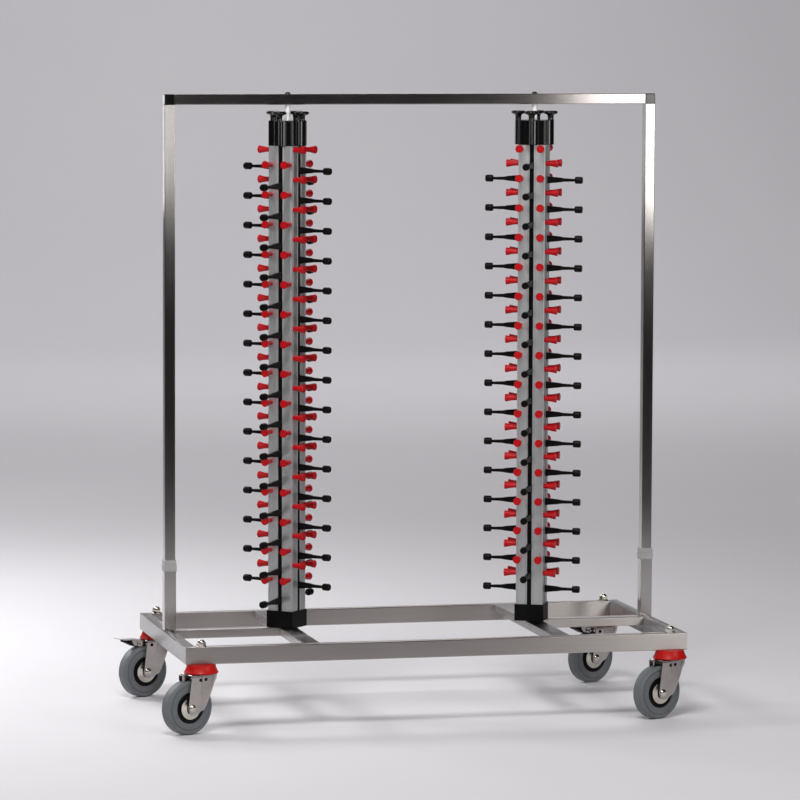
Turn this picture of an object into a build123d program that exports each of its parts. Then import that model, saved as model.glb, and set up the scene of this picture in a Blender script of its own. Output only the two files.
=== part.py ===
from build123d import *
from math import atan, cos, degrees, radians, sin
import os

os.makedirs("parts", exist_ok=True)

# A mobile plate rack: a tubular base on four swivel castors, a portal of square tube over it, and
# two columns that turn between the base and the portal. Millimetres, +Z up, the floor at Z = 0,
# -Y the side that faces the viewer. The origin is on the floor under the middle of the footprint.

# ---- driving dimensions ----
base_length = 1200
base_depth = 600
base_top = 200
frame_height = 1460
rail_high, rail_wide = 40, 25
flat_wide, flat_high = 40, 20
tube_wall = 1.5

bar_size = 25
post_inset = 17
leg_size = 28
leg_wall = 1.2
leg_top = 354
post_overlap = 64
sleeve_low, sleeve_high = 339, 366
sleeve_size, sleeve_chamfer = 31, 1

column_x = 300
column_yaw = {"left": 42.2, "right": 25}
column_size = 65
slot_width = 10.6
socket_size, socket_high, socket_floor = 70, 40, 8
spacer_size, spacer_high = 13, 37
cap_high, cap_roof = 59, 8
pitch = 70
top_level_drop, foot_clear = 9, 60
# Face 0 looks at the viewer and the others follow anticlockwise, seen from above. Opposite faces
# carry their levels at one height and the other two half a pitch lower.
low_faces = {"left": (0, 2), "right": (1, 3)}
# How far the arms of each face hang below their bumpers, as the four knobs are set.
arm_drop = {"left": (51, 49.5, 45, 41), "right": (41, 40, 40, 37.5)}

bumper_length, bumper_root, bumper_tip, bumper_spread = 29.5, 11, 19.5, 51
bumper_sides = 6
arm_reach, arm_width, arm_root_high, arm_end_high = 117, 8, 17, 6
arm_shoulder, arm_shoulder_high = 64, 11.5
arm_cap_size, arm_cap_length = 17, 18
arm_cap_sides = 6

knob_circle, knob_size, knob_high, knob_bevel = 39, 34, 9, 3
knob_neck, knob_neck_high = 15, 13
knob_sides = 16
screw_size, screw_end = 6, 4

castor_inset = 38.5
castor_angle = 23.5
castor_trail = 40
wheel_radius, tyre_width, tyre_bore = 62.5, 32, 72
stem_size = 12
seal_top_size, seal_bottom_size, seal_high = 67, 80, 20
fork_gap, fork_plate = 38, 3
tyre_land, tyre_shoulder = 26, 5
pedal_reach, pedal_width = 118, 26

running_fit = 0.05
slide_fit = 0.1
gap = 0.5
# Sides of what is round but no shaft: large discs, wheels, and small bores and bosses.
disc_sides = 24
wheel_sides = 32
boss_sides = 12

# ---- places that follow from them ----
half_length, half_depth = base_length / 2, base_depth / 2
rail_bottom = base_top - rail_high
castor_x = half_length - castor_inset
castor_y = half_depth - rail_wide / 2
post_x = half_length - post_inset
bar_bottom = frame_height - bar_size
cap_top = bar_bottom - spacer_high
cap_bottom = cap_top - cap_high
top_level = cap_bottom - top_level_drop
# As many levels as fit between the cap and the foot on the faces that start half a pitch lower.
levels = int((top_level - pitch / 2 - base_top - socket_high - foot_clear) / pitch) + 1
profile_face = column_size / 2
lip_depth, lip_wall, profile_wall = 16, 2, 2.5
profile_top = cap_top - cap_roof

# The castors trail to the left and a little to the front, so the footprint reaches further there
# than the base. Both offsets bring its middle to the origin.
trail_cos, trail_sin = cos(radians(castor_angle)), sin(radians(castor_angle))
left_reach = castor_x + pedal_reach * trail_cos + pedal_width / 2 * trail_sin
tread_reach = (castor_trail + wheel_radius) * trail_sin + tyre_land / 2 * trail_cos
shoulder_reach = (castor_trail + wheel_radius - tyre_shoulder) * trail_sin + tyre_width / 2 * trail_cos
front_reach = castor_y + max(tread_reach, shoulder_reach)
middle_x = (left_reach - castor_x - seal_bottom_size / 2) / 2
middle_y = (front_reach - castor_y - seal_bottom_size / 2) / 2


def level(x, y, z, turn=0):
    """A level plane whose X axis is turned about Z."""
    direction = (cos(radians(turn)), sin(radians(turn)), 0)
    return Plane(origin=(middle_x + x, middle_y + y, z), x_dir=direction, z_dir=(0, 0, 1))


def upright(x, y, z, turn=0):
    """An upright plane: X runs along the turned direction, Y is up."""
    direction = (cos(radians(turn)), sin(radians(turn)), 0)
    outward = (sin(radians(turn)), -cos(radians(turn)), 0)
    return Plane(origin=(middle_x + x, middle_y + y, z), x_dir=direction, z_dir=outward)


def shaft(size, sides=boss_sides):
    """A section drawn with few sides, its corners on the circle."""
    RegularPolygon(size / 2, sides)


def bore(size, sides=boss_sides, mode=Mode.ADD):
    """A hole drawn with few sides, its flats on the circle, so that what is round runs in it."""
    RegularPolygon(size / 2, sides, major_radius=False, mode=mode)


def save(piece, name):
    shape = piece if isinstance(piece, Compound) else piece.part
    shape.label = name
    export_step(shape, f"parts/{name}.step")


# ---- base rails: 40 x 25 tube, mitred at the corners ----
def mitred_rail(x, y, turn, length):
    """One outer rail, outer face through (x, y), its ends cut at 45 degrees."""
    start = level(x, y, rail_bottom, turn)
    with BuildPart() as rail:
        with BuildSketch(start):
            with BuildLine():
                Polyline(
                    (-length / 2, 0),
                    (length / 2, 0),
                    (length / 2 - rail_wide, rail_wide),
                    (-length / 2 + rail_wide, rail_wide),
                    close=True,
                )
            make_face()
        extrude(amount=rail_high)
        with BuildSketch(start.offset(tube_wall)):
            with Locations((0, rail_wide / 2)):
                Rectangle(length, rail_wide - 2 * tube_wall)
        extrude(amount=rail_high - 2 * tube_wall, mode=Mode.SUBTRACT)
    return rail


front_rail = mitred_rail(0, -half_depth, 0, base_length)
right_end_rail = mitred_rail(half_length, 0, 90, base_depth)
rear_rail = mitred_rail(0, half_depth, 180, base_length)
left_end_rail = mitred_rail(-half_length, 0, 270, base_depth)


def drill_rail(rail, side):
    """Adds the two bores of a long rail that the castor stems pass through."""
    with BuildPart() as bored:
        add(rail.part)
        with BuildSketch(level(0, side * castor_y, rail_bottom)):
            with Locations((-castor_x, 0), (castor_x, 0)):
                bore(stem_size + 2 * running_fit)
        extrude(amount=rail_high, mode=Mode.SUBTRACT)
    return bored


front_rail = drill_rail(front_rail, -1)
rear_rail = drill_rail(rear_rail, 1)
save(front_rail, "front_rail")
save(rear_rail, "rear_rail")
save(left_end_rail, "left_end_rail")
save(right_end_rail, "right_end_rail")

# ---- flat rails inside the base, their tops level with the outer rails ----
inner_half_depth = half_depth - rail_wide
pivot_size = 8
flat_middle = base_top - flat_high / 2
with BuildPart() as cross_rails:
    for side in (-1, 1):
        with BuildSketch(upright(side * column_x, -inner_half_depth, flat_middle)):
            Rectangle(flat_wide, flat_high)
            Rectangle(flat_wide - 2 * tube_wall, flat_high - 2 * tube_wall, mode=Mode.SUBTRACT)
        extrude(amount=-2 * inner_half_depth)
    with BuildSketch(level(0, 0, base_top)):
        with GridLocations(2 * column_x, 0, 2, 1):
            bore(pivot_size + 2 * running_fit)
    extrude(amount=-flat_high, mode=Mode.SUBTRACT)
save(cross_rails, "cross_rails")

mid_start = column_x + flat_wide / 2
mid_end = half_length - rail_wide
with BuildPart() as mid_rails:
    for side in (-1, 1):
        with BuildSketch(upright(side * mid_start, 0, flat_middle, 90)):
            Rectangle(flat_wide, flat_high)
            Rectangle(flat_wide - 2 * tube_wall, flat_high - 2 * tube_wall, mode=Mode.SUBTRACT)
        extrude(amount=side * (mid_end - mid_start))
save(mid_rails, "mid_rails")

# ---- portal ----
with BuildPart() as lower_posts:
    with BuildSketch(level(0, 0, base_top)):
        with GridLocations(2 * post_x, 0, 2, 1):
            Rectangle(leg_size, leg_size)
            Rectangle(leg_size - 2 * leg_wall, leg_size - 2 * leg_wall, mode=Mode.SUBTRACT)
    extrude(amount=leg_top - base_top)
save(lower_posts, "lower_posts")

bar_hollow = bar_size - 2 * tube_wall
with BuildPart() as upper_posts:
    with BuildSketch(level(0, 0, leg_top - post_overlap)):
        with GridLocations(2 * post_x, 0, 2, 1):
            Rectangle(bar_size, bar_size)
            Rectangle(bar_hollow, bar_hollow, mode=Mode.SUBTRACT)
    extrude(amount=bar_bottom - leg_top + post_overlap)
save(upper_posts, "upper_posts")

# Moulded collars: a skirt over the lower post and a throat round the upper one.
with BuildPart() as post_sleeves:
    with BuildSketch(level(0, 0, sleeve_low)):
        with GridLocations(2 * post_x, 0, 2, 1):
            Rectangle(sleeve_size, sleeve_size)
            Rectangle(leg_size, leg_size, mode=Mode.SUBTRACT)
    extrude(amount=leg_top - sleeve_low)
    with BuildSketch(level(0, 0, leg_top)):
        with GridLocations(2 * post_x, 0, 2, 1):
            Rectangle(sleeve_size, sleeve_size)
            Rectangle(bar_size, bar_size, mode=Mode.SUBTRACT)
    extrude(amount=sleeve_high - leg_top)
    outer_edges = post_sleeves.edges().filter_by(Axis.Z).filter_by(lambda edge: edge.length > leg_top - sleeve_low + gap)
    chamfer(outer_edges, sleeve_chamfer)
save(post_sleeves, "post_sleeves")

bar_middle = frame_height - bar_size / 2
bar_half_length = post_x - bar_size / 2
with BuildPart() as crossbar:
    with BuildSketch(upright(-bar_half_length, 0, bar_middle, 90)):
        Rectangle(bar_size, bar_size)
        Rectangle(bar_hollow, bar_hollow, mode=Mode.SUBTRACT)
    extrude(amount=2 * bar_half_length)
    with BuildSketch(level(0, 0, frame_height)):
        with GridLocations(2 * column_x, 0, 2, 1):
            bore(pivot_size + 2 * running_fit)
    extrude(amount=-bar_size, mode=Mode.SUBTRACT)
save(crossbar, "crossbar")

# Corner blocks, each with a spigot down the post and another along the crossbar.
spigot_size, spigot_length = bar_hollow - gap / 2, 30
with BuildPart() as corner_connectors:
    for side in (-1, 1):
        with BuildSketch(level(side * post_x, 0, bar_bottom)):
            Rectangle(bar_size, bar_size)
        extrude(amount=bar_size)
        with BuildSketch(level(side * post_x, 0, bar_bottom)):
            Rectangle(spigot_size, spigot_size)
        extrude(amount=-spigot_length)
        with BuildSketch(upright(side * bar_half_length, 0, bar_middle, 90)):
            Rectangle(spigot_size, spigot_size)
        extrude(amount=-side * spigot_length)
save(corner_connectors, "corner_connectors")

# ---- pivots of the columns ----
pivot_head, pivot_head_high = 14, 5
upper_pivot_end, lower_pivot_end = 24, 20
upper_pivot_depth = cap_top - upper_pivot_end
lower_pivot_top = base_top + lower_pivot_end
with BuildPart() as pivot_bolts:
    with BuildSketch(level(0, 0, upper_pivot_depth)):
        with GridLocations(2 * column_x, 0, 2, 1):
            Circle(pivot_size / 2)
    extrude(amount=cap_top - upper_pivot_depth)
    with BuildSketch(level(0, 0, cap_top)):
        with GridLocations(2 * column_x, 0, 2, 1):
            shaft(pivot_size)
    extrude(amount=frame_height - cap_top)
    with BuildSketch(level(0, 0, frame_height)):
        with GridLocations(2 * column_x, 0, 2, 1):
            shaft(pivot_head)
    extrude(amount=pivot_head_high)
    chamfer(pivot_bolts.edges().group_by(Axis.Z)[-1], pivot_head_high / 2)
save(pivot_bolts, "pivot_bolts")

with BuildPart() as pivot_spacers:
    with BuildSketch(level(0, 0, cap_top)):
        with GridLocations(2 * column_x, 0, 2, 1):
            shaft(spacer_size)
            bore(pivot_size + 2 * running_fit, mode=Mode.SUBTRACT)
    extrude(amount=bar_bottom - cap_top)
save(pivot_spacers, "pivot_spacers")

with BuildPart() as pivot_screws:
    with BuildSketch(level(0, 0, base_top - flat_high)):
        with GridLocations(2 * column_x, 0, 2, 1):
            RegularPolygon(pivot_head / 2, 6)
    extrude(amount=-pivot_head_high)
    with BuildSketch(level(0, 0, base_top - flat_high)):
        with GridLocations(2 * column_x, 0, 2, 1):
            shaft(pivot_size)
    extrude(amount=flat_high)
    with BuildSketch(level(0, 0, base_top)):
        with GridLocations(2 * column_x, 0, 2, 1):
            Circle(pivot_size / 2)
    extrude(amount=lower_pivot_top - base_top)
save(pivot_screws, "pivot_screws")

# ---- castor parts that stay with the base ----
swivel_spread = (2 * castor_x, 2 * castor_y)
seal_roof = 3
race_high, race_size = 6, 40
crown_high = 4
crown_top = rail_bottom - seal_high - gap
crown_bottom = crown_top - crown_high
race_bottom = rail_bottom - seal_roof - race_high
head_high, head_size = 4, 22
washer_high, washer_size = 2.5, 24
nut_flats, nut_high, nut_floor = 19, 8, 2
dome_size, dome_high, dome_bevel = 17, 6.5, 4.5
nut_bottom = base_top + washer_high
stem_top = nut_bottom + nut_high - nut_floor
with BuildPart() as castor_stems:
    with BuildSketch(level(0, 0, crown_bottom - head_high)):
        with GridLocations(*swivel_spread, 2, 2):
            shaft(head_size)
    extrude(amount=head_high)
    with BuildSketch(level(0, 0, crown_bottom)):
        with GridLocations(*swivel_spread, 2, 2):
            Circle(stem_size / 2)
    extrude(amount=race_bottom - crown_bottom)
    with BuildSketch(level(0, 0, race_bottom)):
        with GridLocations(*swivel_spread, 2, 2):
            shaft(stem_size)
    extrude(amount=stem_top - race_bottom)
    with BuildSketch(level(0, 0, race_bottom)):
        with GridLocations(*swivel_spread, 2, 2):
            shaft(race_size)
    extrude(amount=race_high)
save(castor_stems, "castor_stems")

# The seals flare down to a lip. Each is a disc bevelled nearly to its full height, with a pocket
# under it that follows the flare.
seal_skin, seal_lip = 3, 2
seal_flare = (seal_bottom_size - seal_top_size) / 2
with BuildPart() as seal_pocket:
    with BuildSketch(level(0, 0, rail_bottom - seal_high)):
        shaft(seal_bottom_size - 2 * seal_skin, disc_sides)
    extrude(amount=seal_high - seal_roof)
    pocket_top = seal_pocket.faces().sort_by(Axis.Z)[-1]
    chamfer(pocket_top.edges(), seal_flare, seal_high - seal_roof - seal_lip, reference=pocket_top)
with BuildPart() as seal:
    with BuildSketch(level(0, 0, rail_bottom - seal_high)):
        shaft(seal_bottom_size, disc_sides)
    extrude(amount=seal_high)
    seal_top = seal.faces().sort_by(Axis.Z)[-1]
    chamfer(seal_top.edges(), seal_flare, seal_high - seal_lip, reference=seal_top)
    add(seal_pocket.part, mode=Mode.SUBTRACT)
    with BuildSketch(level(0, 0, rail_bottom)):
        bore(stem_size + 2 * running_fit)
    extrude(amount=-seal_roof, mode=Mode.SUBTRACT)
with BuildPart() as castor_seals:
    with GridLocations(*swivel_spread, 2, 2):
        add(seal.part)
save(castor_seals, "castor_seals")

with BuildPart() as castor_washers:
    with BuildSketch(level(0, 0, base_top)):
        with GridLocations(*swivel_spread, 2, 2):
            shaft(washer_size)
            bore(stem_size + 2 * running_fit, mode=Mode.SUBTRACT)
    extrude(amount=washer_high)
save(castor_washers, "castor_washers")

# Domed cap nuts, closed over the ends of the stems.
with BuildPart() as castor_nuts:
    with BuildSketch(level(0, 0, nut_bottom)):
        with GridLocations(*swivel_spread, 2, 2):
            RegularPolygon(nut_flats / 2, 6, major_radius=False)
            bore(stem_size + 2 * running_fit, mode=Mode.SUBTRACT)
    extrude(amount=stem_top - nut_bottom)
    with BuildSketch(level(0, 0, stem_top)):
        with GridLocations(*swivel_spread, 2, 2):
            RegularPolygon(nut_flats / 2, 6, major_radius=False)
    extrude(amount=nut_bottom + nut_high - stem_top)
    with BuildSketch(level(0, 0, nut_bottom + nut_high)):
        with GridLocations(*swivel_spread, 2, 2):
            shaft(dome_size)
    extrude(amount=dome_high)
    chamfer(castor_nuts.edges().group_by(Axis.Z)[-1], dome_bevel)
save(castor_nuts, "castor_nuts")


# ---- castors ----
# In the plane of the wheel, X runs along the trail and Y is up from the floor.
crown_size, cone_size, cone_bevel = 64, 60, 9
cheek_front_reach, cheek_front_drop = 27, 14
cheek_back_reach, cheek_back_drop = 12, 28
cheek_foot_size, foot_front_reach, foot_front_rise = 32, 26, 4
tail_reach, tail_drop = 64, 17
hinge_size, hinge_inset, hinge_drop = 5, 7, 8.5
cheek_hole, cheek_hole_reach, cheek_hole_drop = 7, 6, 12
axle_size, axle_flats, axle_head = 8, 13, 6
disc_size, wheel_gap = 55, 0.2
rim_recess, hub_size = 2.5, 24
axle_place = (castor_trail, wheel_radius)
tail_hinge = (tail_reach - hinge_inset, crown_top - hinge_drop)
cheek_outside = fork_gap / 2 + fork_plate


def wheel_plane(x, y):
    """The upright plane of a castor's wheel, through its stem."""
    return upright(x, y, 0, 180 + castor_angle)


def castor_fork(x, y):
    """A pressed fork: a round crown, two tapering cheeks and a hood that reaches back over the tyre."""
    with BuildPart() as fork:
        # One cheek outline, filled right across and then hollowed to leave the cheeks and the hood.
        with BuildSketch(wheel_plane(x, y)):
            Polygon(
                (-cheek_front_reach, crown_top),
                (tail_reach, crown_top),
                (tail_reach, crown_top - tail_drop),
                (castor_trail + cheek_back_reach, crown_bottom - cheek_back_drop),
                axle_place,
                (castor_trail - foot_front_reach, wheel_radius + foot_front_rise),
                (-cheek_front_reach, crown_bottom - cheek_front_drop),
                align=None,
            )
            with Locations(axle_place):
                shaft(cheek_foot_size, disc_sides)
        extrude(amount=cheek_outside, both=True)
        with BuildSketch(wheel_plane(x, y)):
            Rectangle(4 * wheel_radius, 2 * crown_bottom)
        extrude(amount=fork_gap / 2, both=True, mode=Mode.SUBTRACT)
        with BuildSketch(level(x, y, crown_bottom)):
            shaft(crown_size, disc_sides)
        extrude(amount=crown_high)
        # The crown rises in a cone to the race inside the seal.
        with BuildSketch(level(x, y, crown_top)):
            shaft(cone_size, disc_sides)
        extrude(amount=race_bottom - crown_top)
        chamfer(fork.edges().group_by(Axis.Z)[-1], cone_bevel)
        with BuildSketch(level(x, y, race_bottom)):
            bore(stem_size + 2 * running_fit)
        extrude(amount=crown_bottom - race_bottom, mode=Mode.SUBTRACT)
        with BuildSketch(wheel_plane(x, y)):
            with Locations(axle_place):
                bore(axle_size + 2 * running_fit)
            with Locations((cheek_hole_reach, crown_bottom - cheek_hole_drop)):
                bore(cheek_hole)
            with Locations(tail_hinge):
                bore(hinge_size + 2 * running_fit)
        extrude(amount=2 * cheek_outside, both=True, mode=Mode.SUBTRACT)
    return fork


def castor_axle(x, y):
    """The axle bolt and nut, with a pressed guard disc on each side of the wheel."""
    hub_face = tyre_width / 2 + wheel_gap
    with BuildPart() as axle:
        with BuildSketch(wheel_plane(x, y)):
            with Locations(axle_place):
                Circle(axle_size / 2)
        extrude(amount=hub_face, both=True)
        with BuildSketch(wheel_plane(x, y)):
            with Locations(axle_place):
                shaft(axle_size)
        extrude(amount=cheek_outside, both=True)
        for side in (-1, 1):
            with BuildSketch(wheel_plane(x, y).offset(side * cheek_outside)):
                with Locations(axle_place):
                    RegularPolygon(axle_flats / 2, 6, major_radius=False)
            extrude(amount=side * axle_head)
            with BuildSketch(wheel_plane(x, y).offset(side * hub_face)):
                with Locations(axle_place):
                    shaft(disc_size, disc_sides)
            extrude(amount=side * (fork_gap / 2 - hub_face))
    return axle


def castor_tyre(x, y):
    """A solid tyre with sloping shoulders."""
    shoulder = (tyre_width - tyre_land) / 2
    with BuildPart() as tyre:
        with BuildSketch(wheel_plane(x, y)):
            with Locations(axle_place):
                RegularPolygon(wheel_radius, wheel_sides)
        extrude(amount=tyre_width / 2, both=True)
        for wall in tyre.faces().sort_by(Face.area)[-2:]:
            chamfer(wall.edges(), tyre_shoulder, shoulder, reference=wall)
        with BuildSketch(wheel_plane(x, y)):
            with Locations(axle_place):
                shaft(tyre_bore, disc_sides)
        extrude(amount=tyre_width, both=True, mode=Mode.SUBTRACT)
    return tyre


def castor_rim(x, y):
    """The moulded wheel centre, with a hub that runs on the axle."""
    with BuildPart() as rim:
        with BuildSketch(wheel_plane(x, y)):
            with Locations(axle_place):
                shaft(tyre_bore, disc_sides)
        extrude(amount=tyre_width / 2 - rim_recess, both=True)
        with BuildSketch(wheel_plane(x, y)):
            with Locations(axle_place):
                shaft(hub_size)
        extrude(amount=tyre_width / 2 + wheel_gap, both=True)
        with BuildSketch(wheel_plane(x, y)):
            with Locations(axle_place):
                bore(axle_size + 2 * running_fit)
        extrude(amount=tyre_width, both=True, mode=Mode.SUBTRACT)
    return rim


castor_places = {
    "fl": (-castor_x, -castor_y),
    "fr": (castor_x, -castor_y),
    "bl": (-castor_x, castor_y),
    "br": (castor_x, castor_y),
}
for corner, (x, y) in castor_places.items():
    save(castor_fork(x, y), f"castor_{corner}_fork")
    save(castor_axle(x, y), f"castor_{corner}_axle")
    save(castor_tyre(x, y), f"castor_{corner}_tyre")
    save(castor_rim(x, y), f"castor_{corner}_rim")


pedal_plate, pedal_rise, pedal_bend, pedal_gap = 2, 4, 20, 1.5
pedal_tip_rise, wedge_drop, barrel_size = 5, 7, 7.2
pedal_neck, heel_drop = 2, 4


def brake_pedal(x, y):
    """A bent tread plate hinged between the cheeks of the hood, over a wedge-shaped shoe."""
    hinge_x, hinge_z = tail_hinge
    heel = tail_reach + pedal_gap
    plate_top = crown_top + pedal_rise
    bend = pedal_reach - pedal_bend
    with BuildPart() as pedal:
        with BuildSketch(wheel_plane(x, y)):
            Polygon(
                (heel, hinge_z + pedal_neck),
                (heel, plate_top),
                (bend, plate_top),
                (pedal_reach, plate_top + pedal_tip_rise),
                (pedal_reach, plate_top + pedal_tip_rise - pedal_plate),
                (bend, plate_top - pedal_plate),
                (bend, plate_top - wedge_drop),
                (heel, hinge_z - barrel_size / 2 - heel_drop),
                (hinge_x, hinge_z - barrel_size / 2),
                align=None,
            )
            with Locations(tail_hinge):
                shaft(barrel_size)
        extrude(amount=pedal_width / 2, both=True)
        with BuildSketch(wheel_plane(x, y)):
            with Locations(tail_hinge):
                Circle(hinge_size / 2)
        extrude(amount=cheek_outside, both=True)
    return pedal


save(brake_pedal(*castor_places["bl"]), "castor_bl_pedal")
save(brake_pedal(*castor_places["br"]), "castor_br_pedal")


# ---- columns ----
def face_angle(side, face):
    """The direction that a face of a column looks in, measured from +X."""
    return 270 - column_yaw[side] + 90 * face


def face_plane(side, face, reach, z=0):
    """A plane on a column face: X across the face, Y up, the normal outwards."""
    angle = radians(face_angle(side, face))
    centre_x = middle_x + (column_x if side == "right" else -column_x)
    return Plane(
        origin=(centre_x + reach * cos(angle), middle_y + reach * sin(angle), z),
        x_dir=(-sin(angle), cos(angle), 0),
        z_dir=(cos(angle), sin(angle), 0),
    )


def column_plane(side, z):
    """A level plane on a column's axis, X along the normal of face 0."""
    return level(column_x if side == "right" else -column_x, 0, z, face_angle(side, 0))


def face_levels(side, face):
    """The height of the lowest bumper pair of a face."""
    lower = pitch / 2 if face in low_faces[side] else 0
    return top_level - lower - (levels - 1) * pitch


def column_profiles(side):
    """Four corner profiles: two legs each, with a lip turned inwards along either slot."""
    half_slot = slot_width / 2
    leg = profile_face - half_slot
    with BuildPart() as profiles:
        with BuildSketch(column_plane(side, base_top + socket_floor)):
            for quarter in range(4):
                with Locations(Location((0, 0), 90 * quarter)):
                    with Locations((profile_face - profile_wall / 2, half_slot + leg / 2)):
                        Rectangle(profile_wall, leg)
                    with Locations((half_slot + leg / 2, profile_face - profile_wall / 2)):
                        Rectangle(leg, profile_wall)
                    lip_middle = (profile_face + lip_depth) / 2
                    lip_high = profile_face - lip_depth
                    with Locations((lip_middle, half_slot + lip_wall / 2)):
                        Rectangle(lip_high, lip_wall)
                    with Locations((half_slot + lip_wall / 2, lip_middle)):
                        Rectangle(lip_wall, lip_high)
        extrude(amount=profile_top - base_top - socket_floor)
    return profiles


pivot_boss, boss_cover = 18, 4


def column_socket(side):
    """The moulded foot: a square cup that the profiles stand in, with a boss for the pivot."""
    with BuildPart() as socket:
        with BuildSketch(column_plane(side, base_top)):
            Rectangle(socket_size, socket_size)
        extrude(amount=socket_high)
        chamfer(socket.edges().filter_by(Axis.Z), sleeve_chamfer)
        with BuildSketch(column_plane(side, base_top + socket_floor)):
            Rectangle(column_size, column_size)
        extrude(amount=socket_high, mode=Mode.SUBTRACT)
        with BuildSketch(column_plane(side, base_top + socket_floor)):
            shaft(pivot_boss)
        extrude(amount=lower_pivot_top - base_top - socket_floor + boss_cover)
        with BuildSketch(column_plane(side, base_top)):
            bore(pivot_size + 2 * running_fit)
        extrude(amount=lower_pivot_top - base_top + gap, mode=Mode.SUBTRACT)
    return socket


lobe_size, lobe_circle = 34, 30
cap_size, cap_corner = 69, 6
lug_reach = knob_circle + 4.5


def column_cap(side):
    """The moulded head: a lobe over each slot houses the screw that shifts that face's arms."""
    with BuildPart() as cap:
        with BuildSketch(column_plane(side, cap_bottom)):
            RectangleRounded(cap_size, cap_size, cap_corner)
            with PolarLocations(lobe_circle, 4):
                Circle(lobe_size / 2)
        extrude(amount=cap_top - cap_bottom)
        with BuildSketch(column_plane(side, cap_bottom)):
            Rectangle(column_size, column_size)
            pocket_width = slot_width + 2 * gap
            pocket_reach = lug_reach + gap
            Rectangle(2 * pocket_reach, pocket_width)
            Rectangle(pocket_width, 2 * pocket_reach)
        extrude(amount=profile_top - cap_bottom, mode=Mode.SUBTRACT)
        with BuildSketch(column_plane(side, profile_top)):
            shaft(pivot_boss)
        extrude(amount=upper_pivot_depth - profile_top - boss_cover)
        with BuildSketch(column_plane(side, cap_top)):
            bore(pivot_size + 2 * running_fit)
        extrude(amount=upper_pivot_depth - cap_top - gap, mode=Mode.SUBTRACT)
        with BuildSketch(column_plane(side, cap_top)):
            with PolarLocations(knob_circle, 4):
                bore(screw_size + 2 * running_fit)
        extrude(amount=-cap_roof, mode=Mode.SUBTRACT)
    return cap


with BuildPart() as bumper:
    with BuildSketch(Plane.XY):
        RegularPolygon(bumper_root / 2, bumper_sides)
    extrude(amount=bumper_length)
    flare = degrees(atan((bumper_tip - bumper_root) / 2 / bumper_length))
    draft(bumper.faces().filter_by(Axis.Z, reverse=True), Plane.XY, -flare)


def column_bumpers(side):
    """The flared rubber bumpers, two to a level on each face, that a plate's rim leans on."""
    with BuildPart() as bumpers:
        for face in range(4):
            middle = face_levels(side, face) + (levels - 1) * pitch / 2
            with Locations(face_plane(side, face, profile_face, middle)):
                with GridLocations(bumper_spread, pitch, 2, levels):
                    add(bumper.part)
    return bumpers


carrier_front, carrier_back, flange_wide = 30, 15.3, 20
flange_deep = 4
lug_high, lug_rise, foot_rise = 10, 22, 40
# The heights of a carrier's two ends if its arms stood level with their bumpers.
carrier_foot = base_top + socket_high + foot_rise
carrier_head = cap_top + lug_rise


def column_arms(side, face):
    """One carrier: a tee bar in the slot, the lug that rides on the screw, and fifteen arms."""
    drop = arm_drop[side][face]
    middle = face_levels(side, face) - drop + (levels - 1) * pitch / 2
    foot, head = carrier_foot - drop, carrier_head - drop
    bar_wide = slot_width - 2 * slide_fit
    across = face_plane(side, face, 0).x_dir
    outward = face_plane(side, face, 0).z_dir
    with BuildPart() as bar:
        with BuildSketch(Plane(face_plane(side, face, 0, foot).origin, x_dir=outward, z_dir=(0, 0, 1))):
            with Locations(((carrier_front + carrier_back) / 2, 0)):
                Rectangle(carrier_front - carrier_back, bar_wide)
            with Locations((carrier_back - flange_deep / 2, 0)):
                Rectangle(flange_deep, flange_wide)
        extrude(amount=head - foot)
    with BuildPart() as lug:
        lug_plane = Plane(face_plane(side, face, 0, head).origin, x_dir=outward, z_dir=(0, 0, 1))
        with BuildSketch(lug_plane):
            with Locations(((carrier_front + lug_reach) / 2, 0)):
                Rectangle(lug_reach - carrier_front, bar_wide)
            with Locations((knob_circle, 0)):
                bore(screw_size + 2 * running_fit, mode=Mode.SUBTRACT)
        extrude(amount=-lug_high)
    with BuildPart() as fingers:
        # Seen from the side a finger tapers, and faster behind its shoulder.
        with BuildSketch(Plane(face_plane(side, face, 0, middle).origin, x_dir=outward, z_dir=-across)):
            with GridLocations(0, pitch, 1, levels):
                Polygon(
                    (carrier_front, arm_root_high / 2),
                    (arm_shoulder, arm_shoulder_high / 2),
                    (arm_reach - arm_cap_length, arm_end_high / 2),
                    (arm_reach - arm_cap_length, -arm_end_high / 2),
                    (carrier_front, -arm_root_high / 2),
                    align=None,
                )
        extrude(amount=arm_width / 2, both=True)
        with BuildSketch(face_plane(side, face, arm_reach, middle)):
            with GridLocations(0, pitch, 1, levels):
                RegularPolygon(arm_cap_size / 2, arm_cap_sides)
        extrude(amount=-arm_cap_length)
    return Compound(children=[bar.part, lug.part, *fingers.solids()])


def column_knob(side, face):
    """A mushroom knob on its screw, which turns in the roof of the cap."""
    axis = face_plane(side, face, knob_circle).origin - Vector(middle_x, middle_y, 0)
    disc_bottom = cap_top + knob_neck_high
    with BuildPart() as knob:
        with BuildSketch(level(axis.X, axis.Y, disc_bottom)):
            RegularPolygon(knob_size / 2, knob_sides)
        extrude(amount=knob_high)
        chamfer(knob.edges().group_by(Axis.Z)[0], knob_bevel)
        with BuildSketch(level(axis.X, axis.Y, cap_top)):
            shaft(knob_neck)
        extrude(amount=knob_neck_high)
        with BuildSketch(level(axis.X, axis.Y, cap_bottom + screw_end)):
            shaft(screw_size)
        extrude(amount=cap_top - cap_bottom - screw_end)
    return knob


for side in ("left", "right"):
    save(column_profiles(side), f"{side}_column_profiles")
    save(column_socket(side), f"{side}_column_socket")
    save(column_cap(side), f"{side}_column_cap")
    save(column_bumpers(side), f"{side}_column_bumpers")
    for face in range(4):
        save(column_arms(side, face), f"{side}_column_arms_{face}")
        save(column_knob(side, face), f"{side}_column_knob_{face}")
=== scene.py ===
from math import atan2, cos, hypot, pi, radians, sin

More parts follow.
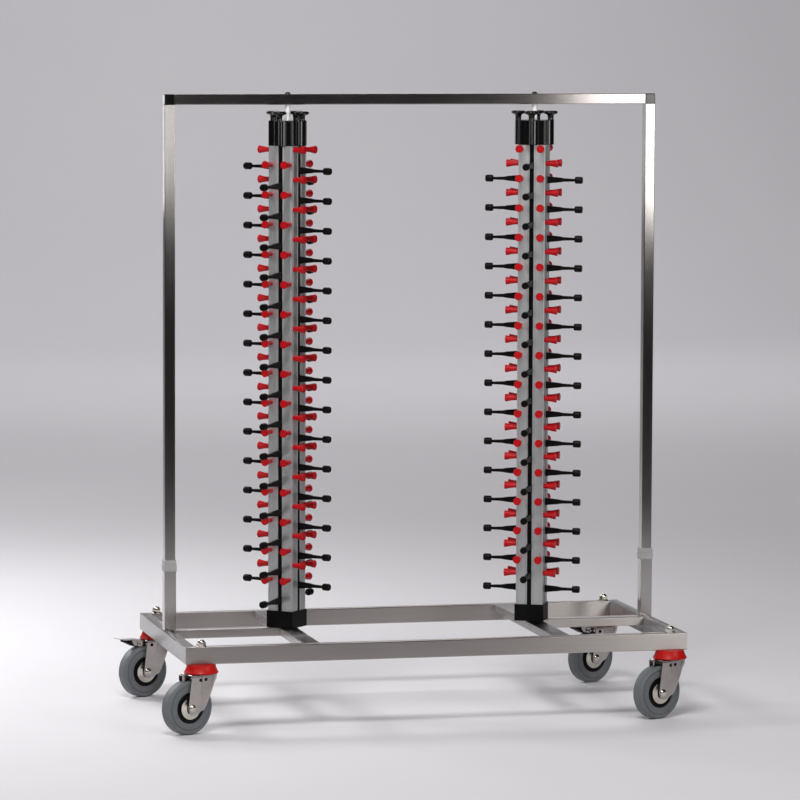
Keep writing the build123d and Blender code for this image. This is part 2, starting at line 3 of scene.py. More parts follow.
import bmesh
import bpy
from mathutils import Matrix, Vector


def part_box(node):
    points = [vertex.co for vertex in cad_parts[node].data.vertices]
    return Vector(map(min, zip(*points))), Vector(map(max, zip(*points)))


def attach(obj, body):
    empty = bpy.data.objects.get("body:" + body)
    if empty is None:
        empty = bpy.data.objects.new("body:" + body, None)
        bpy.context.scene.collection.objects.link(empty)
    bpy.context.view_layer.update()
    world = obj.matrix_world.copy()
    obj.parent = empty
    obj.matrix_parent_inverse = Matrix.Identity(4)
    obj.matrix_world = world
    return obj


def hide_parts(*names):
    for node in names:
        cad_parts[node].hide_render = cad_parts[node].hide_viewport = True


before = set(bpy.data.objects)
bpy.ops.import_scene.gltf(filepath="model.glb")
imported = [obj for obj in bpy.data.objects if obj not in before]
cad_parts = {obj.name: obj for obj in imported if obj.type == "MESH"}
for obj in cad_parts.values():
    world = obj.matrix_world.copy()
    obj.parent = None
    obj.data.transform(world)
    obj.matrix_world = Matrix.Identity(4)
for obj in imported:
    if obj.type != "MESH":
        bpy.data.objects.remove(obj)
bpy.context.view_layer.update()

MM = 0.001


def box_middle(*nodes):
    """The middle of the box round some nodes."""
    corners = [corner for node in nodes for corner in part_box(node)]
    return Vector([(min(c[i] for c in corners) + max(c[i] for c in corners)) / 2 for i in range(3)])


base = box_middle("front_rail", "rear_rail", "left_end_rail", "right_end_rail")
base.z = 0


# ---- shader writing ----
class Wire:
    """A socket of a finish that takes part in Python's arithmetic."""

    def __init__(self, finish, socket):
        self.finish, self.socket = finish, socket

    def maths(self, operation, other, reflected=False):
        values = (other, self) if reflected else (self, other)
        return self.finish.node("ShaderNodeMath", {"operation": operation}, dict(enumerate(values)))

    def __add__(self, other):
        return self.maths("ADD", other)

    def __radd__(self, other):
        return self.maths("ADD", other, True)

    def __rsub__(self, other):
        return self.maths("SUBTRACT", other, True)

    def __mul__(self, other):
        return self.maths("MULTIPLY", other)

    def __rmul__(self, other):
        return self.maths("MULTIPLY", other, True)


class Finish:
    """A material with a Principled surface, written as a list of nodes."""

    def __init__(self, name):
        self.material = bpy.data.materials.new(name)
        self.material.use_nodes = True
        self.tree = self.material.node_tree
        self.tree.nodes.clear()

    def node(self, kind, settings=None, inputs=None, output=0):
        """A node of any kind, with its settings and the values or wires of its inputs."""
        node = self.tree.nodes.new(kind)
        for name, value in (settings or {}).items():
            setattr(node, name, value)
        for name, value in (inputs or {}).items():
            if isinstance(value, Wire):
                self.tree.links.new(value.socket, node.inputs[name])
            else:
                node.inputs[name].default_value = value
        return Wire(self, node.outputs[output]) if node.outputs else None

    def place(self, stretch=(1, 1, 1)):
        """Object coordinates, scaled on each axis."""
        coordinates = self.node("ShaderNodeTexCoord", output="Object")
        return self.node("ShaderNodeMapping", {}, {"Vector": coordinates, "Scale": stretch})

    def noise(self, stretch, detail=3, roughness=0.5):
        """A noise from 0 to 1, with its number of features per metre on each axis."""
        return self.node("ShaderNodeTexNoise", {}, {
            "Vector": self.place(stretch), "Scale": 1, "Detail": detail, "Roughness": roughness})

    def mix(self, factor, first, second):
        """A colour between two colours."""
        first, second = (c if isinstance(c, Wire) else (*c, 1) for c in (first, second))
        return self.node("ShaderNodeMix", {"data_type": "RGBA"}, {0: factor, 6: first, 7: second}, 2)

    def bump(self, height, strength, distance):
        return self.node("ShaderNodeBump", {}, {"Height": height, "Strength": strength, "Distance": distance})

    def surface(self, **sockets):
        """The Principled shader: the words of a socket's name are joined by underscores."""
        inputs = {name.replace("_", " "): value for name, value in sockets.items()}
        shader = self.node("ShaderNodeBsdfPrincipled", {}, inputs)
        self.node("ShaderNodeOutputMaterial", {}, {"Surface": shader})
        return self.material


def edge_wear_and_crease_shade(finish, width):
    """How near an edge a point is, from 0 on a face to 1 on a sharp corner."""
    rounded = finish.node("ShaderNodeBevel", {"samples": 4}, {"Radius": width})
    flat = finish.node("ShaderNodeNewGeometry", output="Normal")
    alike = finish.node("ShaderNodeVectorMath", {"operation": "DOT_PRODUCT"}, {0: rounded, 1: flat}, "Value")
    return 1 - alike


def shade(colour, factor):
    """A colour made darker or lighter."""
    return tuple(min(1, c * factor) for c in colour)


def brushed_tube(name, axis, tint, blur):
    """Satin stainless tube, ground along its length, with the faint clouds that handling leaves."""
    def stretched(along, across):
        return tuple(along if i == axis else across for i in range(3))

    finish = Finish(name)
    grain = finish.noise(stretched(6, 900), 4, 0.6)
    broad = finish.noise(stretched(3, 160), 2)
    cloud = finish.noise((9, 9, 9), 4, 0.55)
    colour = finish.mix(grain * 0.5 + broad * 0.3 + cloud * 0.2, shade(tint, 0.86), shade(tint, 1.12))
    # The shine spreads across the grain, which takes a quarter turn on a level bar.
    quarter_turn = 0.25 if axis < 2 else 0.0
    return finish.surface(
        Base_Color=colour, Metallic=1.0, Roughness=blur + 0.07 * grain + 0.05 * cloud, Anisotropic=0.95,
        Anisotropic_Rotation=quarter_turn, Normal=finish.bump(grain, 0.12, 0.00007))


def pressed_steel(name, tint, polish):
    """Bright pressed or turned steel with smudges and a slight ripple."""
    finish = Finish(name)
    smudge = finish.noise((45, 45, 45), 3, 0.5)
    ripple = finish.noise((34, 34, 34), 2)
    scratch = finish.noise((1500, 300, 260), 3, 0.7)
    unshaded = finish.mix(smudge, shade(tint, 0.78), shade(tint, 1.18))
    # Painted shade: the colour darkens along folds, rims and holes, where shade would gather.
    colour = finish.mix(7 * edge_wear_and_crease_shade(finish, 0.0011), unshaded, shade(tint, 0.42))
    return finish.surface(
        Base_Color=colour, Metallic=1.0, Roughness=polish + 0.12 * smudge + 0.05 * scratch,
        Normal=finish.bump(ripple, 0.12, 0.0012))


def anodised_profile(name):
    """Satin anodised extrusion, with the fine lines that the die draws along it."""
    finish = Finish(name)
    lines = finish.noise((1400, 1400, 1.2), 3, 0.65)
    bands = finish.noise((190, 190, 0.5), 2)
    speckle = finish.noise((2600, 2600, 2600), 2)
    colour = finish.mix(bands * 0.6 + lines * 0.4, (0.47, 0.48, 0.49), (0.70, 0.71, 0.715))
    return finish.surface(
        Base_Color=colour, Metallic=0.9, Roughness=0.36 + 0.10 * lines + 0.05 * speckle,
        Normal=finish.bump(lines, 0.15, 0.00015))


def moulded(name, dark, light, rough, texture, shine=0.5, height=0.0001):
    """Moulded plastic or rubber: a fine skin, uneven gloss and edges that have rubbed paler."""
    finish = Finish(name)
    skin = finish.noise((texture,) * 3, 3, 0.55)
    handled = finish.noise((38, 38, 38), 4, 0.6)
    flow = finish.noise((90, 90, 30), 3)
    body = finish.mix(0.55 * handled + 0.45 * flow, dark, light)
    rubbed = tuple(min(1, c * 1.25 + 0.003) for c in light)
    colour = finish.mix(edge_wear_and_crease_shade(finish, 0.0006) * 0.6, body, rubbed)
    return finish.surface(
        Base_Color=colour, Specular_IOR_Level=shine, Roughness=rough - 0.04 + 0.10 * handled + 0.05 * skin,
        Normal=finish.bump(skin, 0.25, height))


def tyre_rubber(name):
    """Grey rubber, dusty towards the ground and finely scuffed."""
    finish = Finish(name)
    skin = finish.noise((900, 900, 900), 3)
    dust = finish.noise((24, 24, 24), 5, 0.65)
    scuff = finish.noise((160, 160, 160), 4, 0.7)
    height = finish.node("ShaderNodeSeparateXYZ", {}, {"Vector": finish.place()}, output="Z")
    ground = finish.node("ShaderNodeMapRange", {}, {
        "Value": height, "From Min": 0.0, "From Max": 0.03, "To Min": 0.45, "To Max": 0.0})
    body = finish.mix(dust, (0.090, 0.100, 0.112), (0.130, 0.143, 0.158))
    colour = finish.mix(ground * dust + 0.16 * scuff, body, (0.24, 0.235, 0.225))
    return finish.surface(
        Base_Color=colour, Roughness=0.46 + 0.2 * dust, Normal=finish.bump(skin + 0.5 * scuff, 0.3, 0.0003))


def paper_floor(name):
    """The pale floor of the studio, with a trace of unevenness."""
    finish = Finish(name)
    cloud = finish.noise((0.8, 0.8, 0.8), 3)
    colour = finish.mix(cloud, (0.70, 0.685, 0.715), (0.74, 0.725, 0.75))
    return finish.surface(Base_Color=colour, Roughness=0.62 + 0.06 * cloud)


# These four are one satin steel. The much darker tint of the tubes along Y is painted shade, and the small
# differences between the other tints are painted light and shade as well.
tube_along_x = brushed_tube("satin_tube_along_x", 0, (0.47, 0.44, 0.42), 0.25)
shaded_tube_along_y = brushed_tube("satin_tube_along_y", 1, (0.26, 0.25, 0.25), 0.22)
crossbar_tube = brushed_tube("satin_crossbar_tube", 0, (0.45, 0.42, 0.405), 0.15)
tube_upright = brushed_tube("satin_tube_upright", 2, (0.49, 0.465, 0.45), 0.16)
bright_steel = pressed_steel("bright_pressed_steel", (0.47, 0.435, 0.415), 0.10)
polished_steel = pressed_steel("polished_fittings", (0.68, 0.645, 0.57), 0.05)
profile_finish = anodised_profile("anodised_profile")
gloss_black = moulded("gloss_black_moulding", (0.003, 0.003, 0.0035), (0.006, 0.006, 0.007), 0.10, 1200, 0.44,
                      0.00003)
satin_black = moulded("satin_black_moulding", (0.002, 0.0018, 0.0018), (0.006, 0.005, 0.005), 0.34, 1500, 0.10)
rim_black = moulded("rim_black", (0.003, 0.003, 0.003), (0.007, 0.007, 0.007), 0.45, 1500, 0.12)
red_rubber = moulded("red_bumper_rubber", (0.38, 0.002, 0.005), (0.54, 0.004, 0.008), 0.34, 1400, 0.24)
red_ring = moulded("red_swivel_ring", (0.40, 0.005, 0.003), (0.54, 0.009, 0.006), 0.34, 1000, 0.22)
pale_collar = moulded("pale_collar_plastic", (0.30, 0.292, 0.285), (0.38, 0.372, 0.365), 0.42, 1200, 0.4)
white_bush = moulded("white_bush_nylon", (0.93, 0.92, 0.91), (0.98, 0.97, 0.96), 0.30, 1200)
grey_tyre = tyre_rubber("grey_tyre_rubber")


# ---- mesh helpers ----
def turn(angle, axis="Z"):
    return Matrix.Rotation(angle, 4, axis)


def move(x, y, z):
    return Matrix.Translation((x, y, z))


def stretch_up(height):
    return Matrix.Diagonal((1, 1, height, 1))


def millimetres(*points):
    """Points that are written in millimetres, in metres."""
    return [(a * MM, b * MM) for a, b in points]


def corners_of(geometry):
    return [v for v in geometry if isinstance(v, bmesh.types.BMVert)]


def level_edges(shape, axis):
    """The edges whose two ends are at the same place along an axis."""
    return [e for e in shape.edges if abs(e.verts[0].co[axis] - e.verts[1].co[axis]) < 1e-7]


def copy_into(target, shape, place=Matrix.Identity(4)):
    """Adds a copy of a shape to a target, moved to its place."""
    mesh = bpy.data.meshes.new("carried")
    shape.to_mesh(mesh)
    mesh.transform(place)
    if place.determinant() < 0:
        mesh.flip_normals()
    target.from_mesh(mesh)
    bpy.data.meshes.remove(mesh)


def join(*shapes):
    """One bmesh that holds several shapes, each given alone or with its place."""
    whole = bmesh.new()
    for shape in shapes:
        copy_into(whole, *(shape if isinstance(shape, tuple) else (shape,)))
    return whole


def round_over(shape, parts, radius, steps, affect="EDGES"):
    """Rounds some edges of a shape, or some corners."""
    bmesh.ops.bevel(shape, geom=parts, offset=radius, segments=steps, profile=0.5, affect=affect, material=-1)


def draw_out(shape, vector):
    """Draws the faces of a flat shape out into a solid."""
    made = bmesh.ops.extrude_face_region(shape, geom=shape.faces[:])
    bmesh.ops.translate(shape, vec=vector, verts=corners_of(made["geom"]))


def block(size, edge, steps=3, along=None):
    """A block about the origin with rounded edges: all of them, or those along one axis."""
    shape = bmesh.new()
    bmesh.ops.create_cube(shape, size=1, matrix=Matrix.Diagonal((*size, 1)))
    edges = [e for e in shape.edges
             if along is None or abs((e.verts[0].co - e.verts[1].co).normalized()[along]) > 0.9]
    round_over(shape, edges, edge, steps)
    return shape


def cut_flat(shape, point, normal):
    """Cuts away what lies beyond a plane and closes the cut."""
    made = bmesh.ops.bisect_plane(shape, geom=shape.verts[:] + shape.edges[:] + shape.faces[:],
                                  plane_co=point, plane_no=normal, clear_outer=True)
    rim = [e for e in made["geom_cut"] if isinstance(e, bmesh.types.BMEdge)]
    bmesh.ops.holes_fill(shape, edges=rim, sides=0)


def turned(profile, steps=32):
    """A turned shape about Z, from its radii and heights."""
    shape = bmesh.new()
    points = [shape.verts.new((r, 0, z)) for r, z in profile]
    edges = [shape.edges.new(pair) for pair in zip(points, points[1:])]
    bmesh.ops.spin(shape, geom=points + edges, cent=(0, 0, 0), axis=(0, 0, 1), angle=2 * pi, steps=steps,
                   use_merge=True)
    bmesh.ops.remove_doubles(shape, verts=shape.verts, dist=1e-6)
    bmesh.ops.recalc_face_normals(shape, faces=shape.faces)
    return shape


def plate(outline, thick, corners=None, edge=0.0, steps=2):
    """A flat plate in X and Z, thick along Y, with rounded corners and rims.

    corners gives the radius of a corner by its number in the outline, and edge is the radius of the rims.
    """
    shape = bmesh.new()
    points = [shape.verts.new((x, -thick / 2, z)) for x, z in outline]
    shape.faces.new(points)
    for index, radius in sorted((corners or {}).items()):
        round_over(shape, [points[index]], radius, 6, "VERTICES")
    draw_out(shape, (0, thick, 0))
    bmesh.ops.recalc_face_normals(shape, faces=shape.faces)
    if edge:
        sharp = 1.2
        round_over(shape, [e for e in level_edges(shape, 1) if e.calc_face_angle(0) > sharp], edge, steps)
    return shape


def new_object(name, shape):
    """Puts a shape into the scene as an object and lets go of the shape."""
    mesh = bpy.data.meshes.new(name)
    shape.to_mesh(mesh)
    shape.free()
    made = bpy.data.objects.new(name, mesh)
    bpy.context.scene.collection.objects.link(made)
    return made


def drilled(shape, *drills):
    """The shape with other shapes cut out of it."""
    work, tool = new_object("blank", shape), new_object("drill", join(*drills))
    cut = work.modifiers.new("drill", "BOOLEAN")
    cut.operation, cut.object, cut.solver = "DIFFERENCE", tool, "EXACT"
    bpy.context.view_layer.update()
    result = bmesh.new()
    evaluated = work.evaluated_get(bpy.context.evaluated_depsgraph_get())
    result.from_mesh(evaluated.to_mesh())
    evaluated.to_mesh_clear()
    bpy.data.objects.remove(work)
    bpy.data.objects.remove(tool)
    return result


def piece(name, shape, finish, body, nodes=(), smooth=35):
    """Makes a finished piece that rides on a body and stands for its nodes."""
    bmesh.ops.remove_doubles(shape, verts=shape.verts, dist=1e-7)
    bmesh.ops.recalc_face_normals(shape, faces=shape.faces)
    made = new_object(name, shape)
    made.data.shade_smooth()
    made.data.set_sharp_from_angle(angle=radians(smooth))
    made.data.materials.append(finish)
    # The flats stay flat and only the rounded edges carry the turn of the light.
    made.modifiers.new("true_flats", "WEIGHTED_NORMAL").keep_sharp = True
    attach(made, body)
    if nodes:
        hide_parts(*nodes)


# ---- base rails: rounded tube, mitred and welded at the corners ----
def rail_bar(name, node, axis, finish):
    """A tube along X or Y, cut at 45 degrees at both ends."""
    weld_gap = 0.15 * MM
    low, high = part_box(node)
    size, middle = high - low, (high + low) / 2
    shape = block(size, 2.2 * MM, 3, axis)
    bmesh.ops.translate(shape, vec=middle, verts=shape.verts)
    other = 1 - axis
    outward = -1 if base[other] - middle[other] > 0 else 1
    for end in (-1, 1):
        # The outer corner keeps its full length and the inner one loses the tube's width.
        corner = middle.copy()
        corner[axis] += end * size[axis] / 2
        corner[other] += outward * size[other] / 2
        normal = Vector((0, 0, 0))
        normal[axis], normal[other] = end, -outward
        cut_flat(shape, corner - normal.normalized() * weld_gap, normal)
    piece(name, shape, finish, "frame", (node,))


rail_bar("front_rail_tube", "front_rail", 0, tube_along_x)
rail_bar("rear_rail_tube", "rear_rail", 0, tube_along_x)
rail_bar("left_end_rail_tube", "left_end_rail", 1, shaded_tube_along_y)
rail_bar("right_end_rail_tube", "right_end_rail", 1, shaded_tube_along_y)

rail_wide, rail_tall = 25 * MM, 40 * MM
rail_low, rail_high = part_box("front_rail")
base_top, rail_bottom = rail_high.z, rail_low.z
half_length, half_depth = (rail_high.x - rail_low.x) / 2, base.y - rail_low.y

# The weld line that the grinder leaves at each corner.
seams = bmesh.new()
weld_line = block((hypot(rail_wide, rail_wide) - 1 * MM, 0.5 * MM, rail_tall - 0.4 * MM), 0.2 * MM, 2, 0)
for sx in (-1, 1):
    for sy in (-1, 1):
        middle = (base.x + sx * (half_length - rail_wide / 2), base.y + sy * (half_depth - rail_wide / 2),
                  (base_top + rail_bottom) / 2)
        copy_into(seams, weld_line, move(*middle) @ turn(sx * sy * pi / 4))
piece("corner_weld_lines", seams, bright_steel, "frame")

flat_wide, flat_high, flat_edge = 40 * MM, 20 * MM, 1.8 * MM
low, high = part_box("cross_rails")
cross = bmesh.new()
for x in (low.x + flat_wide / 2, high.x - flat_wide / 2):
    copy_into(cross, block((flat_wide, high.y - low.y, flat_high), flat_edge, 3, 1),
              move(x, base.y, base_top - flat_high / 2))
piece("cross_rail_tubes", cross, shaded_tube_along_y, "frame", ("cross_rails",))
inner_x = high.x - base.x
outer_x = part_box("mid_rails")[1].x - base.x
mids = bmesh.new()
for side in (-1, 1):
    copy_into(mids, block((outer_x - inner_x, flat_wide, flat_high), flat_edge, 3, 0),
              move(base.x + side * (outer_x + inner_x) / 2, base.y, base_top - flat_high / 2))
piece("mid_rail_tubes", mids, tube_along_x, "frame", ("mid_rails",))

# ---- portal ----
bar_size, lower_post_size = 25 * MM, 28 * MM
post_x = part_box("upper_posts")[1].x - bar_size / 2 - base.x
frame_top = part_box("crossbar")[1].z
for name, node, size, edge in (("lower_post_tubes", "lower_posts", lower_post_size, 1.6 * MM),
                               ("upper_post_tubes", "upper_posts", bar_size, 2 * MM)):
    low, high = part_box(node)
    posts = bmesh.new()
    for side in (-1, 1):
        copy_into(posts, block((size, size, high.z - low.z), edge, 3, 2),
                  move(base.x + side * post_x, base.y, (high.z + low.z) / 2))
    piece(name, posts, tube_upright, "frame", (node,))

low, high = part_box("crossbar")
bar = block((high.x - low.x - 0.4 * MM, bar_size, bar_size), 2 * MM, 3, 0)
bmesh.ops.translate(bar, vec=(low + high) / 2, verts=bar.verts)
piece("crossbar_tube", bar, crossbar_tube, "frame", ("crossbar",))

# Collars: a skirt over the lower post, and a narrower throat that starts inside it.
skirt_size, skirt_high, throat_size, throat_start = 31 * MM, 16 * MM, 29.4 * MM, 15.2 * MM
low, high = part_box("post_sleeves")
collars = bmesh.new()
for side in (-1, 1):
    for size, z0, z1 in ((skirt_size, low.z, low.z + skirt_high), (throat_size, low.z + throat_start, high.z)):
        copy_into(collars, block((size, size, z1 - z0), 1.8 * MM, 3),
                  move(base.x + side * post_x, base.y, (z0 + z1) / 2))
piece("post_collars", collars, pale_collar, "frame", ("post_sleeves",))

# Corner connectors: a cube with a spigot into the post and one into the crossbar.
spigot_wide, spigot_long, spigot_out = 21.7 * MM, 30 * MM, 27 * MM
corners = bmesh.new()
for side in (-1, 1):
    place = move(base.x + side * post_x, base.y, frame_top - bar_size / 2)
    copy_into(corners, block((bar_size, bar_size, bar_size), 2.2 * MM, 4), place)
    copy_into(corners, block((spigot_wide, spigot_wide, spigot_long), 1 * MM, 2), place @ move(0, 0, -spigot_out))
    copy_into(corners, block((spigot_long, spigot_wide, spigot_wide), 1 * MM, 2),
              place @ move(-side * spigot_out, 0, 0))
piece("corner_connector_blocks", corners, gloss_black, "frame", ("corner_connectors",))

# ---- pivots of the columns ----
column_x = {side: box_middle(f"{side}_column_socket").x for side in ("left", "right")}
column_y = box_middle("left_column_socket").y
cap_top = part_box("left_column_cap")[1].z
upper_end, lower_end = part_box("pivot_bolts")[0].z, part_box("pivot_screws")[1].z
under_base = base_top - flat_high
bolts, bushes, screws = bmesh.new(), bmesh.new(), bmesh.new()
bolt_head = turned(millimetres((0, 5), (2.5, 4.8), (4.8, 3.9), (6.3, 2.3), (6.9, 0.6), (6.9, 0), (0, 0)), 28)
rod = turned([(0, 0), (4 * MM, 0), (4 * MM, 1), (0, 1)], 24)
bush_high = frame_top - bar_size - cap_top
bush = turned([(4.05 * MM, 0), (6.1 * MM, 0), (6.5 * MM, 0.5 * MM), (6.5 * MM, bush_high - 0.5 * MM),
               (6.1 * MM, bush_high), (4.05 * MM, bush_high), (4.05 * MM, 0)], 32)
hexagon_high = 5 * MM
hexagon = bmesh.new()
bmesh.ops.create_cone(hexagon, cap_ends=True, segments=6, radius1=7 * MM, radius2=7 * MM, depth=hexagon_high)
round_over(hexagon, hexagon.edges[:], 0.5 * MM, 2)
for side in ("left", "right"):
    here = move(column_x[side], column_y, 0)
    copy_into(bolts, bolt_head, here @ move(0, 0, frame_top))
    copy_into(bolts, rod, here @ move(0, 0, upper_end) @ stretch_up(frame_top - upper_end))
    copy_into(bushes, bush, here @ move(0, 0, cap_top))
    copy_into(screws, hexagon, here @ move(0, 0, under_base - hexagon_high / 2))
    copy_into(screws, rod, here @ move(0, 0, under_base) @ stretch_up(lower_end - under_base))
piece("pivot_bolts_domed", bolts, gloss_black, "frame", ("pivot_bolts",))
piece("pivot_bushes", bushes, white_bush, "frame", ("pivot_spacers",))
piece("pivot_screws_hex", screws, polished_steel, "frame", ("pivot_screws",))

# ---- what holds the castors ----
nut_across_flats = 19
nut_corner = nut_across_flats / 2 / cos(pi / 6) * MM
washer_thick = 2.5 * MM
nuts_low, nuts_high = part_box("castor_nuts")
castor_x, castor_y = (nuts_high.x - nuts_low.x) / 2 - nut_corner, half_depth - rail_wide / 2
nuts, washers, rings, stems = bmesh.new(), bmesh.new(), bmesh.new(), bmesh.new()
nut_body = bmesh.new()
bmesh.ops.create_cone(nut_body, cap_ends=True, segments=6, radius1=nut_corner, radius2=nut_corner, depth=8 * MM,
                      matrix=move(0, 0, 4 * MM))
round_over(nut_body, nut_body.edges[:], 0.9 * MM, 2)
nut_dome = turned(millimetres((8.7, 7), (8.5, 8.4), (8.0, 10.2), (6.7, 12.2), (4.6, 13.7), (2.3, 14.4),
                              (0, 14.5)), 28)
washer = turned(millimetres((6.1, 0), (11.8, 0), (12, 0.3), (12, 2.2), (11.7, 2.5), (6.1, 2.5), (6.1, 0)), 32)
ring = turned(millimetres((6.1, -3), (6.1, 0), (32.2, 0), (32.2, -1.2), (33.3, -1.6), (33.7, -3.2), (34.4, -6.5),
                          (36, -11), (37.9, -15), (39.2, -16.8), (39.9, -17.6), (40, -18.9), (39.4, -19.8),
                          (38, -20), (37.2, -19), (36, -15), (31, -3.6), (30, -3), (6.1, -3)), 56)
stem_low, stem_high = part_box("castor_stems")
stem_long = stem_high.z - stem_low.z
stem = turned(millimetres((0, 0), (10.4, 0), (11, 0.6), (11, 4), (6, 4)) + [(6 * MM, stem_long), (0, stem_long)],
              24)
race_low = rail_bottom - 9 * MM - stem_low.z
race_high = race_low + 6 * MM
race = turned([(6 * MM, race_low), (19.5 * MM, race_low), (20 * MM, race_low + 0.5 * MM), (20 * MM, race_high),
               (6 * MM, race_high)], 32)
castors = {"fl": (-1, -1), "fr": (1, -1), "bl": (-1, 1), "br": (1, 1)}
for index, (sx, sy) in enumerate(castors.values()):
    here = move(base.x + sx * castor_x, base.y + sy * castor_y, 0)
    nut_place = here @ move(0, 0, base_top + washer_thick)
    # Each nut was tightened to an angle of its own.
    copy_into(nuts, nut_body, nut_place @ turn(0.3 + 0.8 * index))
    copy_into(nuts, nut_dome, nut_place)
    copy_into(washers, washer, here @ move(0, 0, base_top))
    copy_into(rings, ring, here @ move(0, 0, rail_bottom))
    copy_into(stems, stem, here @ move(0, 0, stem_low.z))
    copy_into(stems, race, here @ move(0, 0, stem_low.z))
piece("castor_cap_nuts", nuts, polished_steel, "frame", ("castor_nuts",), 28)
piece("castor_flat_washers", washers, polished_steel, "frame", ("castor_washers",))
piece("castor_swivel_rings", rings, red_ring, "frame", ("castor_seals",), 50)
piece("castor_stem_bolts", stems, bright_steel, "frame", ("castor_stems",))

# ---- castors: local X runs along the trail, local Y out of the near side of the wheel ----
castor_turn = pi + radians(23.5)
trail, wheel_radius = 40 * MM, 62.5 * MM
wheel_middle = move(trail, 0, wheel_radius)
out_of_wheel = turn(-pi / 2, "X")


def mirrored(shape):
    """The shape and its mirror image across the wheel's plane."""
    return join(shape, (shape, Matrix.Diagonal((1, -1, 1, 1))))


def cheek_shape():
    """One side of the fork: a flat band down the trailing edge, a crease, and a wing folded back from it."""
    front = [(-30, 135), (-24.5, 119), (-17, 101), (-9, 83), (-1, 66), (7, 55.5)]
    crease = [(10.5, 135), (11.2, 119), (12.4, 101), (13.8, 83), (15.2, 66), (16.5, 53.5)]
    band = [(15, 135), (15.8, 119), (17, 101), (18.4, 83), (19.8, 66), (21.5, 50.5)]
    rear = [(42, 135), (44.4, 119), (46.6, 101), (48.8, 83), (51, 66), (50, 55)]
    shape = bmesh.new()
    columns = [[shape.verts.new((x * MM, y * MM, z * MM)) for x, z in line]
               for line, y in ((front, 18.6), (crease, 19.3), (band, 21.7), (rear, 21.9))]
    # The wing's upper part is folded in towards the stem, and the crease goes along a little.
    for row, fold in enumerate((3.6, 2.4, 1.0)):
        columns[0][row].co.y -= fold * MM
        columns[1][row].co.y -= fold * 0.3 * MM
    lines = [[shape.edges.new(pair) for pair in zip(column, column[1:])] for column in columns]
    for one, other in zip(lines, lines[1:]):
        bmesh.ops.bridge_loops(shape, edges=one + other)
    # The foot is rounded about the axle.
    foot = [columns[3][-1]] + [shape.verts.new((x * MM, 21.8 * MM, z * MM))
                               for x, z in ((47, 50.6), (42, 47.6), (36, 46.8), (30, 47.4))]
    shape.faces.new(foot + [columns[2][-1]])
    bmesh.ops.recalc_face_normals(shape, faces=shape.faces)
    bmesh.ops.subdivide_edges(shape, edges=shape.edges[:], cuts=2, use_grid_fill=True, smooth=0.0)
    bmesh.ops.solidify(shape, geom=shape.faces[:], thickness=-2.1 * MM)
    bmesh.ops.recalc_face_normals(shape, faces=shape.faces)
    sharp = 1.0
    round_over(shape, [e for e in shape.edges if e.calc_face_angle(0) > sharp], 0.7 * MM, 2)
    return shape


def fork_shape(rear):
    """A pressed fork: a round crown, two creased cheeks, and the hood that reaches back over the tyre."""
    holes = [(29, 127.5)] if rear else [(17, 126.5), (0, 126.5)]
    bore = turned(millimetres((0, 12), (4, 12), (4, 30), (0, 30)), 20)
    oval = Matrix.Diagonal((1.15, 1, 0.95, 1))
    bores = [(bore, move(x * MM, 0, z * MM) @ oval @ out_of_wheel) for x, z in holes]
    cheeks = mirrored(drilled(cheek_shape(), *bores))
    crown = turned(millimetres((6.1, 135.6), (29, 135.6), (31.2, 136.2), (31.9, 137.6), (31, 139), (28, 139.4),
                               (24, 144), (20.4, 150.3), (6.1, 150.8), (6.1, 135.6)), 56)
    # Shoulders round over from the crown into the cheeks.
    shoulder = plate(millimetres((-30, 139.3), (41.5, 139.3), (42.5, 134), (-29, 134)), 43.6 * MM,
                     {0: 2.5 * MM, 1: 2.5 * MM})
    upper_rims = [e for e in level_edges(shoulder, 1) if min(v.co.z for v in e.verts) > 138 * MM]
    round_over(shoulder, upper_rims, 2.6 * MM, 4)
    nose = plate(millimetres((-30, 137), (-26, 137), (-8, 97), (-3, 90), (-6.5, 88), (-11, 94), (-30, 128)),
                 38 * MM)
    # The hood: a lid with a flank on each side, wider and deeper on the castors that carry a pedal.
    start, thick = 34, 2
    half_wide, reach, low_back, low_front = (13, 63.5, 127, 123) if rear else (8.5, 57, 125, 122.8)
    flank = plate(millimetres((start, 139), (reach, 138.6), (reach, low_back), (reach - 5, low_back - 2),
                              (42, low_front), (start, low_front)), thick * MM,
                  {1: 1.5 * MM, 2: 2 * MM, 3: 3 * MM}, 0.7 * MM)
    lid = block(((reach - start) * MM, (2 * half_wide - 0.4) * MM, thick * MM), 0.8 * MM, 3)
    flanks = [(flank, move(0, side * (half_wide - thick / 2) * MM, 0)) for side in (-1, 1)]
    return join(cheeks, crown, shoulder, nose, (lid, move((start + reach) / 2 * MM, 0, 138 * MM)), *flanks)


def axle_shape():
    """The axle with its domed bolt head and nut, and the dished guard discs beside the wheel."""
    disc = turned(millimetres((4, 16.4), (25.4, 16.3), (26.3, 16.6), (26.3, 17.0), (24, 17.5), (20.5, 17.5),
                              (17, 18.6), (11, 19), (4, 19)), 44)
    shank = turned(millimetres((0, 0), (4, 0), (4, 22), (0, 22)), 24)
    collar = turned(millimetres((4, 21.8), (9.4, 21.8), (9.4, 22.4), (10.8, 22.6), (10.8, 23.2), (10, 23.6),
                                (0, 23.6)), 36)
    head = turned(millimetres((8.2, 23.5), (8.2, 24), (9, 24.3), (9, 25), (8.4, 26.1), (7, 27.1), (5, 27.7),
                              (2.6, 28), (0, 28)), 36)
    near = join(disc, shank, collar, head)
    whole = join((near, out_of_wheel), (near, turn(pi) @ out_of_wheel))
    return join((whole, wheel_middle))


